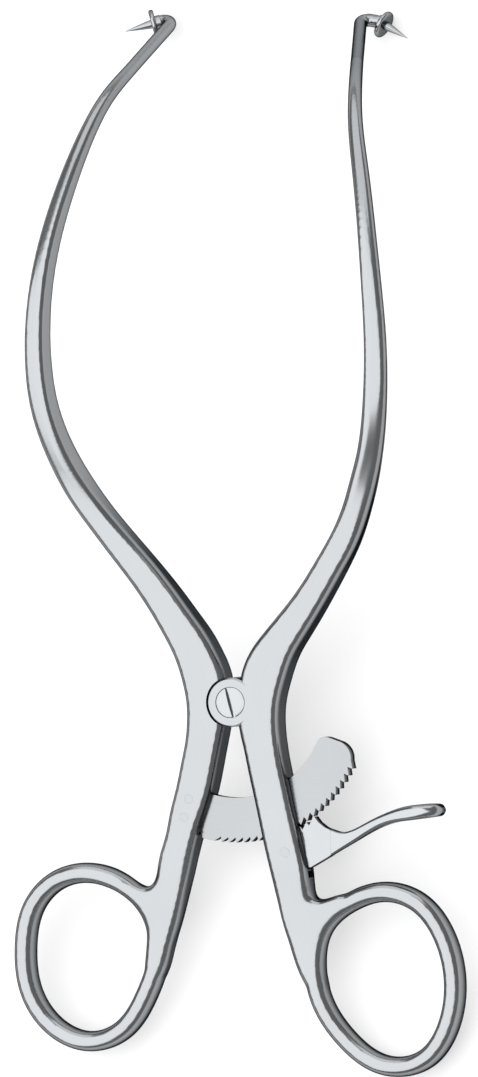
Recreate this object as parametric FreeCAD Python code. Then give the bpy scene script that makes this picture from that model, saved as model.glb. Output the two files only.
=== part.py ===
import FreeCAD, Part
import math
import os

# Self retaining retractor: two levers crossed by a lap joint but bent back on their own side, a toothed
# arc that holds them apart, a spring-loaded release lever and a guarded prong on each shank.
# Joint frame while modelling: pivot axis = Z, back face of the joint at Z 0, tips toward +Y, screw head +Z.

Vec = FreeCAD.Vector
FRONT = Vec(0, 0, 1)

# Forged bars
THICK = 7.0
MID = THICK / 2.0
EDGE = 0.8
SECTIONS = 24
CHORDS = 2

# Lap joint and its screw
EAR_R = 4.45
EAR_CLEAR = 0.15
LAP_GAP = 0.10
HEAD_R = 2.75
HEAD_DEPTH = 1.3
HEAD_DOME = 0.35
NECK_R = 1.75
THREAD_R = 1.45
TURN_CLEAR = 0.05
SLOT_W = 0.6
SLOT_DEPTH = 0.8
SLOT_LEAN = 13.0

# Toothed arc about the pivot axis, angles counted from straight down toward +X
BAR_IN = 17.2
BAR_TIP = 25.3
TOOTH = 0.9
PITCH = 3.25
TEETH_FROM = -8.0
TEETH = 22
BAR_END = 69.0
BAR_END_MID = (23.4, 66.8)
BAR_END_TOP = 20.8
BAR_TAIL = -31.0
BAR_THICK = 2.2
BAR_SIDE = 0.2
MORTISE_CLEAR = 0.04
RIVET_R = 0.8
RIVETS = ((19.2, -26.6), (22.6, -25.2))

# Release lever in the right handle
PIN_X = 9.4
PIN_Y = -27.2
PIN_R = 0.9
BOSS_R = 2.6
NOSE_GAP = 0.12
NOSE_FROM = 24.3
NOSE_TO = 34.6
LEVER_THICK = 2.3
POCKET_CLEAR = 0.3

# Leaf spring under the release lever
LEAF_THICK = 0.35
LEAF_WIDTH = 2.0
LEAF_PIN_R = 0.5
LEAF_STEPS = 9

# Prongs and their guard discs
ROD_R = 1.2
ELBOW_R = 1.5
PRONG_LEN = 5.4
PRONG_R = 0.8
PRONG_TIP_R = 0.06
PRONG_SIDES = 12
DISC_R = 2.55
DISC_THICK = 0.9
DISC_EDGE = 0.25
COLLAR = 1.0

# Finger rings
RING_W = 3.7
RING_T = 5.4
RING_SIDES = 12

# The whole instrument lies on its ring backs and prong corners
REST_PITCH = 8.8

# Stations of each bar: x, y, z of the middle, width across, thickness, corner radius
LEFT_BAR = (
    (-18.0, -50.4, MID, 2.6, 4.6, 1.2),
    (-17.0, -47.3, MID, 4.0, 5.3, 1.4),
    (-16.15, -43.5, MID, 4.7, 5.4, 1.4),
    (-15.2, -38.9, MID, 6.0, 5.6, 1.3),
    (-13.65, -34.0, MID, 5.7, 6.0, 1.2),
    (-12.75, -29.8, MID, 5.7, 6.4, 1.0),
    (-11.0, -24.4, MID, 5.8, 6.8, EDGE),
    (-9.8, -20.5, MID, 6.2, THICK, EDGE),
    (-8.35, -16.4, MID, 6.6, THICK, EDGE),
    (-7.0, -11.4, MID, 6.7, THICK, EDGE),
    (-6.0, -7.2, MID, 6.7, THICK, EDGE),
    (-5.35, -3.6, MID, 7.1, THICK, EDGE),
    (-5.05, 0.0, MID, 7.6, THICK, EDGE),
    (-5.4, 4.2, MID, 8.1, THICK, EDGE),
    (-6.5, 7.6, MID, 7.7, THICK, EDGE),
    (-8.0, 10.9, MID, 7.2, THICK, EDGE),
    (-9.8, 13.9, MID, 6.7, THICK, EDGE),
    (-12.3, 17.8, MID, 6.2, 6.8, EDGE),
    (-16.5, 23.6, MID, 5.7, 6.3, 0.9),
    (-20.7, 29.0, 3.9, 5.3, 5.8, 0.95),
    (-24.2, 34.0, 5.0, 5.0, 5.5, 1.0),
)
RIGHT_BAR = (
    (14.6, -54.0, MID, 2.6, 4.6, 1.2),
    (13.5, -50.8, MID, 3.7, 5.2, 1.35),
    (12.6, -47.9, MID, 4.6, 5.4, 1.4),
    (12.1, -45.1, MID, 5.4, 5.5, 1.4),
    (11.5, -42.2, MID, 5.9, 5.7, 1.3),
    (10.8, -39.3, MID, 6.0, 5.9, 1.2),
    (10.25, -35.6, MID, 6.4, 6.4, 1.0),
    (9.5, -30.6, MID, 6.8, 6.8, EDGE),
    (8.6, -26.0, MID, 6.9, THICK, EDGE),
    (7.6, -21.0, MID, 6.8, THICK, EDGE),
    (6.75, -16.4, MID, 6.8, THICK, EDGE),
    (5.8, -11.5, MID, 6.8, THICK, EDGE),
    (5.2, -7.6, MID, 7.0, THICK, EDGE),
    (4.75, -3.8, MID, 7.5, THICK, EDGE),
    (4.95, 0.0, MID, 7.7, THICK, EDGE),
    (5.85, 4.2, MID, 8.1, THICK, EDGE),
    (7.25, 7.4, MID, 7.7, THICK, EDGE),
    (9.15, 10.3, MID, 6.8, THICK, EDGE),
    (11.45, 13.2, MID, 6.2, THICK, EDGE),
    (14.65, 17.3, MID, 5.6, 6.8, EDGE),
    (19.15, 24.0, MID, 5.2, 6.3, 0.9),
    (22.25, 29.0, 3.9, 5.1, 5.8, 0.95),
    (24.8, 34.0, 5.0, 4.9, 5.5, 1.0),
)
# The bowed shank, the same on both sides: distance from the middle plane, y, z, width, thickness, corner
SHANK = (
    (27.03, 39.0, 6.8, 4.75, 5.1, 1.0),
    (29.07, 44.0, 8.9, 4.5, 4.85, 0.95),
    (31.5, 53.5, 12.0, 4.25, 4.5, 0.9),
    (32.25, 64.0, 12.9, 3.95, 4.2, 0.85),
    (31.7, 74.0, 12.3, 3.6, 3.9, 0.85),
    (30.3, 84.0, 9.9, 3.2, 3.6, 0.85),
    (28.15, 94.0, 5.9, 2.95, 3.3, 0.9),
    (25.6, 103.5, 0.7, 2.65, 2.95, 1.0),
    (23.9, 109.3, -4.6, 2.45, 2.65, 1.08),
    (22.0, 114.0, -11.2, 2.4, 2.4, 1.14),
)
BANK = 10.0
BANK_FROM = 24.0
BANK_FULL = 44.0
# Bent end of each shank: where the rod turns, from there to the disc's middle, and which way the prong points
LEFT_TIP = ((17.94, 123.74, -26.5), (3.92, -0.94, 1.43), (4.6, -1.18, 1.67))
RIGHT_TIP = ((17.56, 122.3, -26.5), (4.47, -1.33, 0.3), (5.21, -2.96, 0.66))
# Middle line of each finger ring
LEFT_RING = ((-30.5, -30.1), (-36.2, -31.7), (-40.5, -36.3), (-42.2, -43.5), (-41.5, -51.0), (-37.2, -57.6),
             (-30.5, -60.5), (-24.0, -58.6), (-19.1, -52.2), (-16.6, -45.2), (-17.1, -39.2), (-20.6, -34.0))
RIGHT_RING = ((27.1, -34.8), (20.8, -36.4), (15.1, -41.0), (13.3, -47.4), (14.4, -54.2), (18.8, -61.0),
              (26.0, -65.9), (33.8, -64.9), (38.5, -58.6), (39.8, -51.4), (38.0, -42.8), (33.4, -36.8))

LAP_BACK = MID - LAP_GAP / 2.0
LAP_FRONT = MID + LAP_GAP / 2.0
BAR_ROOT = BAR_TIP - TOOTH

# Release lever outline: upper edge from the nose to the pad, round end, lower edge back to the boss
LEVER_UPPER = ((16.4, -23.0), (19.1, -23.9), (21.8, -23.5), (25.0, -22.0), (28.4, -20.6), (33.0, -19.4), (37.6, -19.2))
LEVER_END = (38.8, -20.4)
LEVER_LOWER = ((37.4, -21.6), (32.4, -22.1), (28.6, -22.6), (25.0, -23.9), (21.3, -25.7), (16.8, -28.3),
               (13.4, -30.1), (10.2, -29.7))
# Half widths of the lever seen from above
PAD_PLAN = ((16.0, 1.15), (21.0, 1.25), (26.0, 2.0), (31.0, 3.2), (35.0, 3.7), (37.8, 2.4))
# Room in the handle for the swinging lever, and the pit of its spring
SWING_ROOM = ((8.9, -24.4), (9.3, -22.5), (16.0, -18.0), (18.0, -31.9), (12.4, -31.9), (9.4, -30.1))
SPRING_PIT = ((8.75, -29.5), (8.75, -36.2), (10.1, -36.2), (10.1, -33.2), (11.3, -31.9), (14.5, -31.9), (14.5, -29.5))
LEAF_LINE = ((8.925, -36.0), (8.925, -34.6), (8.93, -33.3), (9.3, -32.2), (10.6, -31.2), (12.7, -30.55))
LEAF_PIN_Y = -34.9
LEAF_PIN_FROM = 7.2
LEAF_PIN_TO = 9.1


def polar(radius, degrees, z=0.0):
    turn = math.radians(degrees)
    return Vec(radius * math.sin(turn), -radius * math.cos(turn), z)


def disc(radius, z0, z1, x=0.0, y=0.0):
    return Part.makeCylinder(radius, z1 - z0, Vec(x, y, z0), FRONT)


def plate(points, z0, z1):
    face = Part.Face(Part.makePolygon([Vec(p[0], p[1], z0) for p in list(points) + [points[0]]]))
    return face.extrude(Vec(0, 0, z1 - z0))


def prism(edges, z0, z1):
    face = Part.Face(Part.Wire(edges))
    return face.extrude(Vec(0, 0, z1 - z0))


def arc(centre, radius, from_deg, to_deg):
    stops = [centre + polar(radius, from_deg + (to_deg - from_deg) * k / 2.0) for k in range(3)]
    return Part.Arc(*stops).toShape()


def annular(r0, r1, from_deg, to_deg, z0, z1):
    zero = Vec(0, 0, z0)
    edges = [arc(zero, r0, from_deg, to_deg)]
    edges.append(Part.makeLine(zero + polar(r0, to_deg), zero + polar(r1, to_deg)))
    edges.append(arc(zero, r1, to_deg, from_deg))
    edges.append(Part.makeLine(zero + polar(r1, from_deg), zero + polar(r0, from_deg)))
    return prism(edges, z0, z1)


def smooth(points, closed=False):
    curve = Part.BSplineCurve()
    curve.interpolate(points, PeriodicFlag=closed)
    return curve


# Rounded rectangle across a bar, its corners drawn as short chords; bank turns it about the bar's direction
def bar_section(centre, along, width, thick, corner, bank):
    front = FRONT - along * along.z
    front.normalize()
    front = FreeCAD.Rotation(along, bank).multVec(front)
    side = along.cross(front)
    points = []
    for quarter, (sx, sz) in enumerate(((1, 1), (-1, 1), (-1, -1), (1, -1))):
        hub = centre + side * (sx * (width / 2.0 - corner)) + front * (sz * (thick / 2.0 - corner))
        for k in range(CHORDS + 1):
            turn = math.radians(90.0 * (quarter + k / float(CHORDS)))
            points.append(hub + side * (corner * math.cos(turn)) + front * (corner * math.sin(turn)))
    return Part.makePolygon(points + [points[0]])


def bank_at(y):
    share = (y - BANK_FROM) / (BANK_FULL - BANK_FROM)
    return BANK * min(1.0, max(0.0, share))


# Width, thickness and corner radius at a running length between two stations
def sizes_at(rows, marks, mark):
    k = 0
    while k < len(marks) - 2 and marks[k + 1] < mark:
        k += 1
    share = (mark - marks[k]) / (marks[k + 1] - marks[k])
    return [rows[k][n] + (rows[k + 1][n] - rows[k][n]) * share for n in (3, 4, 5)]


# Even steps along the middle line keep the long curves of the bar free of waves
def bar(stations, side):
    rows = list(stations) + [(side * s[0],) + s[1:] for s in SHANK]
    points = [Vec(r[0], r[1], r[2]) for r in rows]
    marks = [0.0]
    for a, b in zip(points, points[1:]):
        marks.append(marks[-1] + (b - a).Length)
    line = smooth(points)
    wires = []
    for k in range(SECTIONS + 1):
        share = k / float(SECTIONS)
        spot = line.parameterAtDistance(line.length() * share)
        centre = line.value(spot)
        along = Vec(*line.tangent(spot)[0])
        along.normalize()
        width, thick, corner = sizes_at(rows, marks, marks[-1] * share)
        wires.append(bar_section(centre, along, width, thick, corner, side * bank_at(centre.y)))
    return Part.makeLoft(wires, True, False)


# A many-sided oval carried round the closed middle line
def ring(path_points):
    line = smooth([Vec(p[0], p[1], MID) for p in path_points], True)
    start = line.value(line.FirstParameter)
    along = Vec(*line.tangent(line.FirstParameter)[0])
    across = along.cross(FRONT)
    rim = []
    for k in range(RING_SIDES):
        turn = 2.0 * math.pi * k / RING_SIDES
        rim.append(start + across * (RING_W / 2.0 * math.cos(turn)) + FRONT * (RING_T / 2.0 * math.sin(turn)))
    profile = Part.makePolygon(rim + [rim[0]])
    return Part.Wire([line.toShape()]).makePipeShell([profile], True, False)


def mirrored(values, side):
    return Vec(side * values[0], values[1], values[2])


def tip(side):
    corner, stem, aim = LEFT_TIP if side < 0 else RIGHT_TIP
    aim = mirrored(aim, side)
    aim.normalize()
    return mirrored(corner, side), mirrored(corner, side) + mirrored(stem, side), aim


# Straight end of the shank, the tight elbow and the stem up to the collar of the guard disc
def hook(side):
    last = mirrored(SHANK[-1], side)
    corner, seat, aim = tip(side)
    end = seat - aim * (DISC_THICK / 2.0 + COLLAR / 2.0)
    down = corner - last
    down.normalize()
    out = end - corner
    out.normalize()
    turn = math.acos(down.dot(out))
    reach = ELBOW_R * math.tan(turn / 2.0)
    a = corner - down * reach
    b = corner + out * reach
    inward = out - down
    inward.normalize()
    hub = corner + inward * (ELBOW_R / math.cos(turn / 2.0))
    middle = hub - inward * ELBOW_R
    line = [Part.makeLine(last - down * 0.4, a), Part.Arc(a, middle, b).toShape()]
    line.append(Part.makeLine(b, end))
    profile = bar_section(last - down * 0.4, down, 2.0 * ROD_R, 2.0 * ROD_R, 0.95 * ROD_R, side * BANK)
    return Part.Wire(line).makePipeShell([profile], True, True)


# Collar behind the disc, the tenon through it and the sharp prong in front
def prong(side):
    corner, seat, aim = tip(side)
    half = DISC_THICK / 2.0
    collar = Part.makeCylinder(ROD_R, COLLAR, seat - aim * (half + COLLAR), aim)
    tenon = Part.makeCylinder(PRONG_R, DISC_THICK + 0.4, seat - aim * (half + 0.2), aim)
    foot = many_sided(seat + aim * (half + 0.2), aim, PRONG_R)
    point = many_sided(seat + aim * PRONG_LEN, aim, PRONG_TIP_R)
    spike = Part.makeLoft([foot, point], True, True)
    return collar.fuse([tenon, spike])


def many_sided(centre, aim, radius):
    across = aim.cross(FRONT)
    across.normalize()
    up = aim.cross(across)
    turns = [2.0 * math.pi * k / PRONG_SIDES for k in range(PRONG_SIDES)]
    rim = [centre + across * (radius * math.cos(t)) + up * (radius * math.sin(t)) for t in turns]
    return Part.makePolygon(rim + [rim[0]])


def guard_disc(side):
    corner, seat, aim = tip(side)
    body = Part.makeCylinder(DISC_R, DISC_THICK, seat - aim * (DISC_THICK / 2.0), aim)
    rims = [e for e in body.Edges if e.Length > 5 * DISC_R and len(e.Vertexes) == 1]
    body = body.makeChamfer(DISC_EDGE, rims)
    return body.cut(Part.makeCylinder(PRONG_R, 4.0, seat - aim * 2.0, aim))


def rivet_pins():
    pins = []
    for radius, degrees in RIVETS:
        at = polar(radius, degrees)
        pins.append(disc(RIVET_R, 0.0, THICK, at.x, at.y))
    return pins


def forging(stations, path_points, side):
    return bar(stations, side).fuse([ring(path_points), hook(side), prong(side)])


# Rear half of the lap is this lever's ear, its front half is hollowed round for the other ear
def left_lever():
    body = forging(LEFT_BAR, LEFT_RING, -1)
    body = body.cut(disc(EAR_R + EAR_CLEAR, LAP_BACK, THICK + 1.0))
    body = body.fuse(ear(0.0, LAP_BACK, 0.0))
    body = body.cut(disc(THREAD_R, -1.0, THICK))
    z0 = MID - BAR_THICK / 2.0 - MORTISE_CLEAR
    z1 = MID + BAR_THICK / 2.0 + MORTISE_CLEAR
    mortise = annular(BAR_IN - MORTISE_CLEAR, BAR_ROOT + MORTISE_CLEAR, BAR_TAIL - 0.3, -8.0, z0, z1)
    return body.cut([mortise] + rivet_pins())


def ear(z0, z1, outer_z):
    body = disc(EAR_R, z0, z1)
    rims = [e for e in body.Edges if len(e.Vertexes) == 1 and abs(e.CenterOfMass.z - outer_z) < 0.01]
    return body.makeChamfer(EDGE / 2.0, rims)


# Front half of the lap is this lever's ear; its handle is slotted for the toothed arc and the release lever
def right_lever():
    body = forging(RIGHT_BAR, RIGHT_RING, 1)
    body = body.cut(disc(EAR_R + EAR_CLEAR, -1.0, LAP_FRONT))
    body = body.fuse(ear(LAP_FRONT, THICK, THICK))
    body = body.cut(disc(NECK_R + TURN_CLEAR, -1.0, THICK + 1.0))
    body = body.cut(disc(HEAD_R + TURN_CLEAR, THICK - HEAD_DEPTH - TURN_CLEAR, THICK + 1.0))
    z0 = MID - BAR_THICK / 2.0 - BAR_SIDE
    z1 = MID + BAR_THICK / 2.0 + BAR_SIDE
    slot = annular(BAR_IN - 0.3, BAR_TIP + 0.3, 2.0, 46.0, z0, z1)
    room = disc(BOSS_R + POCKET_CLEAR, z0, z1, PIN_X, PIN_Y)
    swing = plate(SWING_ROOM, z0, z1)
    pit = plate(SPRING_PIT, z0, z1)
    body = body.cut([slot, room, swing, pit])
    return body.cut([release_lever_pin(), leaf_spring_pin()])


def pivot_screw():
    seat = THICK - HEAD_DEPTH
    head = disc(HEAD_R, seat, THICK)
    dome = Part.makeCone(HEAD_R, HEAD_R - 2.0 * HEAD_DOME, HEAD_DOME, Vec(0, 0, THICK), FRONT)
    neck = disc(NECK_R, LAP_BACK, seat)
    thread = disc(THREAD_R, 0.0, LAP_BACK)
    slot = Part.makeBox(SLOT_W, 4 * HEAD_R, 2.0, Vec(-SLOT_W / 2.0, -2 * HEAD_R, THICK + HEAD_DOME - SLOT_DEPTH))
    slot.rotate(Vec(0, 0, 0), FRONT, SLOT_LEAN)
    return head.fuse([dome, neck, thread]).removeSplitter().cut(slot)


# Steep flanks face the left handle, so the bar lets the handles close and holds them against opening
def ratchet_bar():
    z0 = MID - BAR_THICK / 2.0
    zero = Vec(0, 0, z0)
    steep = 0.3
    land = 0.35
    path = [zero + polar(BAR_ROOT, -17.6), zero + polar(BAR_TIP - 0.3, -17.2), zero + polar(BAR_TIP, -16.3)]
    edges = [arc(zero, BAR_IN, BAR_END, BAR_TAIL)]
    edges.append(Part.makeLine(zero + polar(BAR_IN, BAR_TAIL), zero + polar(BAR_ROOT, BAR_TAIL)))
    edges.append(arc(zero, BAR_ROOT, BAR_TAIL, -17.6))
    edges.extend(Part.makeLine(a, b) for a, b in zip(path, path[1:]))
    edges.append(arc(zero, BAR_TIP, -16.3, TEETH_FROM - PITCH + land))
    last = zero + polar(BAR_TIP, TEETH_FROM - PITCH + land)
    for k in range(TEETH):
        turn = TEETH_FROM + k * PITCH
        for radius, degrees in ((BAR_ROOT, turn - steep), (BAR_TIP, turn), (BAR_TIP, turn + land)):
            spot = zero + polar(radius, degrees)
            edges.append(Part.makeLine(last, spot))
            last = spot
    toe = TEETH_FROM + TEETH * PITCH - steep
    edges.append(Part.makeLine(last, zero + polar(BAR_ROOT, toe)))
    end = [zero + polar(BAR_ROOT, toe), zero + polar(*BAR_END_MID), zero + polar(BAR_END_TOP, BAR_END)]
    edges.append(Part.Arc(*end).toShape())
    edges.append(Part.makeLine(end[-1], zero + polar(BAR_IN, BAR_END)))
    body = prism(edges, z0, z0 + BAR_THICK)
    return round_corner(body, polar(BAR_IN, BAR_END), 2.0)


def round_corner(body, spot, radius):
    picked = []
    for edge in body.Edges:
        middle = edge.CenterOfMass
        upright = abs(edge.BoundBox.ZLength - BAR_THICK) < 0.01
        if upright and math.hypot(middle.x - spot.x, middle.y - spot.y) < 0.05:
            picked.append(edge)
    return body.makeFillet(radius, picked)


# Side view cut from the lever plate, then narrowed to its plan: thin in the slot, wide at the thumb pad
def release_lever():
    nose_r = BAR_TIP + NOSE_GAP
    heel_r = nose_r + 0.85 * TOOTH
    nose = [polar(heel_r, NOSE_FROM)]
    for k in (1, 2):
        nose.append(polar(nose_r, NOSE_FROM + k * PITCH - 0.35))
        nose.append(polar(heel_r, NOSE_FROM + k * PITCH))
    nose.append(polar(nose_r, NOSE_TO - 0.8))
    nose.append(polar(nose_r, NOSE_TO))
    upper = [nose[-1]] + [Vec(x, y, 0) for x, y in LEVER_UPPER]
    lower = [Vec(x, y, 0) for x, y in LEVER_LOWER]
    heel = [lower[-1], Vec(PIN_X, PIN_Y, 0), Vec(PIN_X, PIN_Y + 0.92 * BOSS_R, 0), nose[0]]
    edges = [Part.makeLine(a, b) for a, b in zip(nose, nose[1:])]
    edges.append(smooth(upper).toShape())
    edges.append(Part.Arc(upper[-1], Vec(LEVER_END[0], LEVER_END[1], 0), lower[0]).toShape())
    edges.append(smooth(lower).toShape())
    edges.extend(Part.makeLine(a, b) for a, b in zip(heel, heel[1:]))
    side_view = prism(edges, 0.0, 10.0)
    side_view.translate(Vec(0, 0, MID - 5.0))
    half = LEVER_THICK / 2.0
    plan_up = [Vec(x, -40.0, MID + w) for x, w in PAD_PLAN]
    plan_down = [Vec(x, -40.0, MID - w) for x, w in reversed(PAD_PLAN)]
    flank_a = Vec(2.0, -40.0, MID + half)
    flank_b = Vec(2.0, -40.0, MID - half)
    rim = [Part.makeLine(flank_b, flank_a), Part.makeLine(flank_a, plan_up[0]), smooth(plan_up).toShape()]
    rim.append(Part.Arc(plan_up[-1], Vec(LEVER_END[0] + 0.1, -40.0, MID), plan_down[0]).toShape())
    rim.extend([smooth(plan_down).toShape(), Part.makeLine(plan_down[-1], flank_b)])
    plan = Part.Face(Part.Wire(rim)).extrude(Vec(0, 30.0, 0))
    boss = disc(BOSS_R, MID - half, MID + half, PIN_X, PIN_Y)
    body = side_view.common(plan).fuse(boss).removeSplitter()
    return body.cut(disc(PIN_R + TURN_CLEAR, -1.0, THICK + 1.0, PIN_X, PIN_Y))


def release_lever_pin():
    return disc(PIN_R, 0.0, THICK, PIN_X, PIN_Y)


# A bent strip: flat tail against the pit wall, free end under the release lever
def leaf_spring():
    line = smooth([Vec(x, y, 0) for x, y in LEAF_LINE])
    first = line.FirstParameter
    last = line.LastParameter
    sides = ([], [])
    for k in range(LEAF_STEPS + 1):
        u = first + (last - first) * k / LEAF_STEPS
        along = Vec(*line.tangent(u)[0])
        across = along.cross(FRONT)
        across.normalize()
        sides[0].append(line.value(u) + across * (LEAF_THICK / 2.0))
        sides[1].append(line.value(u) - across * (LEAF_THICK / 2.0))
    body = plate(sides[0] + sides[1][::-1], MID - LEAF_WIDTH / 2.0, MID + LEAF_WIDTH / 2.0)
    return body.cut(leaf_spring_pin())


def leaf_spring_pin():
    start = Vec(LEAF_PIN_FROM, LEAF_PIN_Y, MID)
    stem = Part.makeCylinder(LEAF_PIN_R, LEAF_PIN_TO - LEAF_PIN_FROM, start, Vec(1, 0, 0))
    head = Part.makeCylinder(1.6 * LEAF_PIN_R, 0.25, Vec(LEAF_PIN_TO, LEAF_PIN_Y, MID), Vec(1, 0, 0))
    return stem.fuse(head).removeSplitter()


def main():
    os.makedirs("parts", exist_ok=True)
    nodes = {
        "left_lever": left_lever(),
        "right_lever": right_lever(),
        "pivot_screw": pivot_screw(),
        "ratchet_bar": ratchet_bar(),
        "ratchet_bar_rivets": Part.makeCompound(rivet_pins()),
        "release_lever": release_lever(),
        "release_lever_pin": release_lever_pin(),
        "leaf_spring": leaf_spring(),
        "leaf_spring_pin": leaf_spring_pin(),
        "left_guard_disc": guard_disc(-1),
        "right_guard_disc": guard_disc(1),
    }
    for shape in nodes.values():
        shape.rotate(Vec(0, 0, 0), Vec(1, 0, 0), REST_PITCH)
    box = Part.makeCompound(list(nodes.values())).optimalBoundingBox(True, False)
    base = Vec(-(box.XMin + box.XMax) / 2.0, -(box.YMin + box.YMax) / 2.0, -box.ZMin)
    for name, shape in nodes.items():
        shape.translate(base)
        shape.exportStep("parts/" + name + ".step")


main()
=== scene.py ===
import math

import bmesh
import bpy
import numpy as np
from mathutils import Matrix, Vector


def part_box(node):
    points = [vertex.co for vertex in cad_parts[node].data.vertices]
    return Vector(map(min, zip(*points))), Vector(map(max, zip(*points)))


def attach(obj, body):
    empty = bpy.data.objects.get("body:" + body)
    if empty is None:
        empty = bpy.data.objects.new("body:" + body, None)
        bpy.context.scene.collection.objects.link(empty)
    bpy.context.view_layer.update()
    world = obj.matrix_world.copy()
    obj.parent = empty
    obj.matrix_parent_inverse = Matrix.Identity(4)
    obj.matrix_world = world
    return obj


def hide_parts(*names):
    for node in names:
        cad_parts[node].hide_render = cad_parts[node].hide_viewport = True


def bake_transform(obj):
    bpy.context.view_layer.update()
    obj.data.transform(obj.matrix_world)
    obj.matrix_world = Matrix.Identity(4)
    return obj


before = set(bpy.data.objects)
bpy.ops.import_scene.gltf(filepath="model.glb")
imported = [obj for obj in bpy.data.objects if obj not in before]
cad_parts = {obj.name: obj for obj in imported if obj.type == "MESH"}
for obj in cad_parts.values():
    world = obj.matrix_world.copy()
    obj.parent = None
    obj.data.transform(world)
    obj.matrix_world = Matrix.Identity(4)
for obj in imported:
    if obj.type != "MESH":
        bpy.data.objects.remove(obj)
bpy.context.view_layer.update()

# ---------------------------------------------------------------------------------------------------
# Left lever
# One forging of stainless steel: ring, handle, rear half of the lap, bowed shank and the bent rod at its end.
# It is ground along its length, polished to a satin sheen, and turns on the pivot screw.

PIVOT = np.array((0.0012300583, -0.0299320243, 0.0099401069))
REST_PITCH = math.radians(8.8)
MM = 0.001
THICK = 7.0
MID = THICK / 2.0
# The shanks' upper faces lean outwards by the bank, in degrees, which grows between these two distances in mm
BANK = 16.0
BANK_FROM = 24.0
BANK_FULL = 44.0
# The round ears of the lap joint, a hair short of the handle's face, and the play round and between them
EAR_R = 4.45
EAR_SHORT = 0.013
EAR_SOFT = 0.3
EAR_CLEAR = 0.15
LAP_GAP = 0.10
# Cutters reach this far past what they cut
PAST = 1.0

# Stations of the bar in mm: x, y, z of its middle, width across, thickness, corner radius
LEFT_BAR = (
    (-18.0, -50.4, MID, 2.6, 4.6, 1.2), (-17.0, -47.3, MID, 4.0, 5.3, 1.6), (-16.15, -43.5, MID, 4.7, 5.4, 1.6),
    (-15.2, -38.9, MID, 6.0, 5.6, 1.6), (-13.65, -34.0, MID, 5.7, 6.0, 1.2),
    (-12.7, -29.8, MID, 6.15, 6.4, 1.6), (-11.0, -24.4, MID, 5.8, 6.8, 1.6),
    (-9.8, -20.5, MID, 6.2, THICK, 1.6), (-8.35, -16.4, MID, 6.6, THICK, 1.6),
    (-7.0, -11.4, MID, 6.7, THICK, 1.6), (-6.0, -7.2, MID, 6.7, THICK, 1.6),
    (-5.35, -3.6, MID, 7.1, THICK, 1.6), (-5.05, 0.0, MID, 7.6, THICK, 1.6),
    (-5.4, 4.2, MID, 8.1, THICK, 1.6), (-6.5, 7.6, MID, 7.7, THICK, 1.6), (-8.0, 10.9, MID, 7.2, THICK, 1.6),
    (-9.8, 13.9, MID, 6.7, THICK, 1.6), (-12.3, 17.8, MID, 6.2, 6.8, 1.6), (-16.5, 23.6, MID, 5.7, 6.3, 1.6),
    (-20.7, 29.0, 3.9, 5.3, 5.8, 1.6), (-24.2, 34.0, 5.0, 5.0, 5.5, 1.6),
)
# The bowed shank is alike on both levers: distance from the middle plane, y, z, width, thickness, corner
SHANK = (
    (27.03, 39.0, 6.8, 4.8, 5.2, 1.35), (29.07, 44.0, 8.9, 4.55, 4.95, 1.35), (31.5, 53.5, 12.0, 4.3, 4.6, 1.3),
    (32.25, 64.0, 12.9, 4.0, 4.3, 1.2), (31.7, 74.0, 12.3, 3.65, 4.0, 1.15), (30.3, 84.0, 9.9, 3.25, 3.7, 1.1),
    (28.15, 94.0, 5.9, 3.0, 3.35, 1.1), (25.6, 103.5, 0.7, 2.65, 2.95, 1.1),
    (23.9, 109.3, -4.6, 2.45, 2.65, 1.08), (22.0, 114.0, -11.2, 2.4, 2.4, 1.14),
)
# Where the rod turns, from there to the disc's middle, and which way the prong points
LEFT_TIP = np.array(((17.94, 123.74, -26.5), (3.92, -0.94, 1.43), (4.6, -1.18, 1.67)))
# Middle line of the ring
LEFT_RING = ((-30.5, -30.1), (-36.2, -31.7), (-40.5, -36.3), (-42.2, -43.5), (-41.5, -51.0), (-37.2, -57.6),
             (-30.5, -60.5), (-24.0, -58.6), (-19.1, -52.2), (-16.6, -45.2), (-17.1, -39.2), (-20.6, -34.0))
RING_W = 3.7
RING_T = 5.4
# The ring's section lies between an ellipse and a rounded box
OVAL_POWER = 0.8
ROD_R = 1.2
# Share of the rod's radius that its corners are rounded by, so that it is all but round
ROD_ROUND = 0.98
ELBOW_R = 1.5
PRONG_LEN = 5.4
PRONG_R = 0.8
PRONG_POINT_R = 0.05
DISC_THICK = 0.9
DISC_CLEAR = 0.05
COLLAR = 1.0
COLLAR_PROUD = 0.07
CORNER_STEPS = 6


def placed(points):
    """Points of the joint's frame in mm, in metres: y and z turned by the rest pitch about X, then carried to
    the pivot."""
    points = np.asarray(points, float)
    c, s = math.cos(REST_PITCH), math.sin(REST_PITCH)
    turned = np.stack((points[..., 0], points[..., 1] * c - points[..., 2] * s,
                       points[..., 1] * s + points[..., 2] * c), -1)
    return turned * MM + PIVOT


def unit(v):
    """Each vector divided by its length."""
    return v / np.linalg.norm(v, axis=-1, keepdims=True)


def run_of(line):
    """The length run along a line at each of its points: the sum of the steps so far."""
    return np.concatenate(([0.0], np.cumsum(np.linalg.norm(np.diff(line, axis=0), axis=1))))


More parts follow.
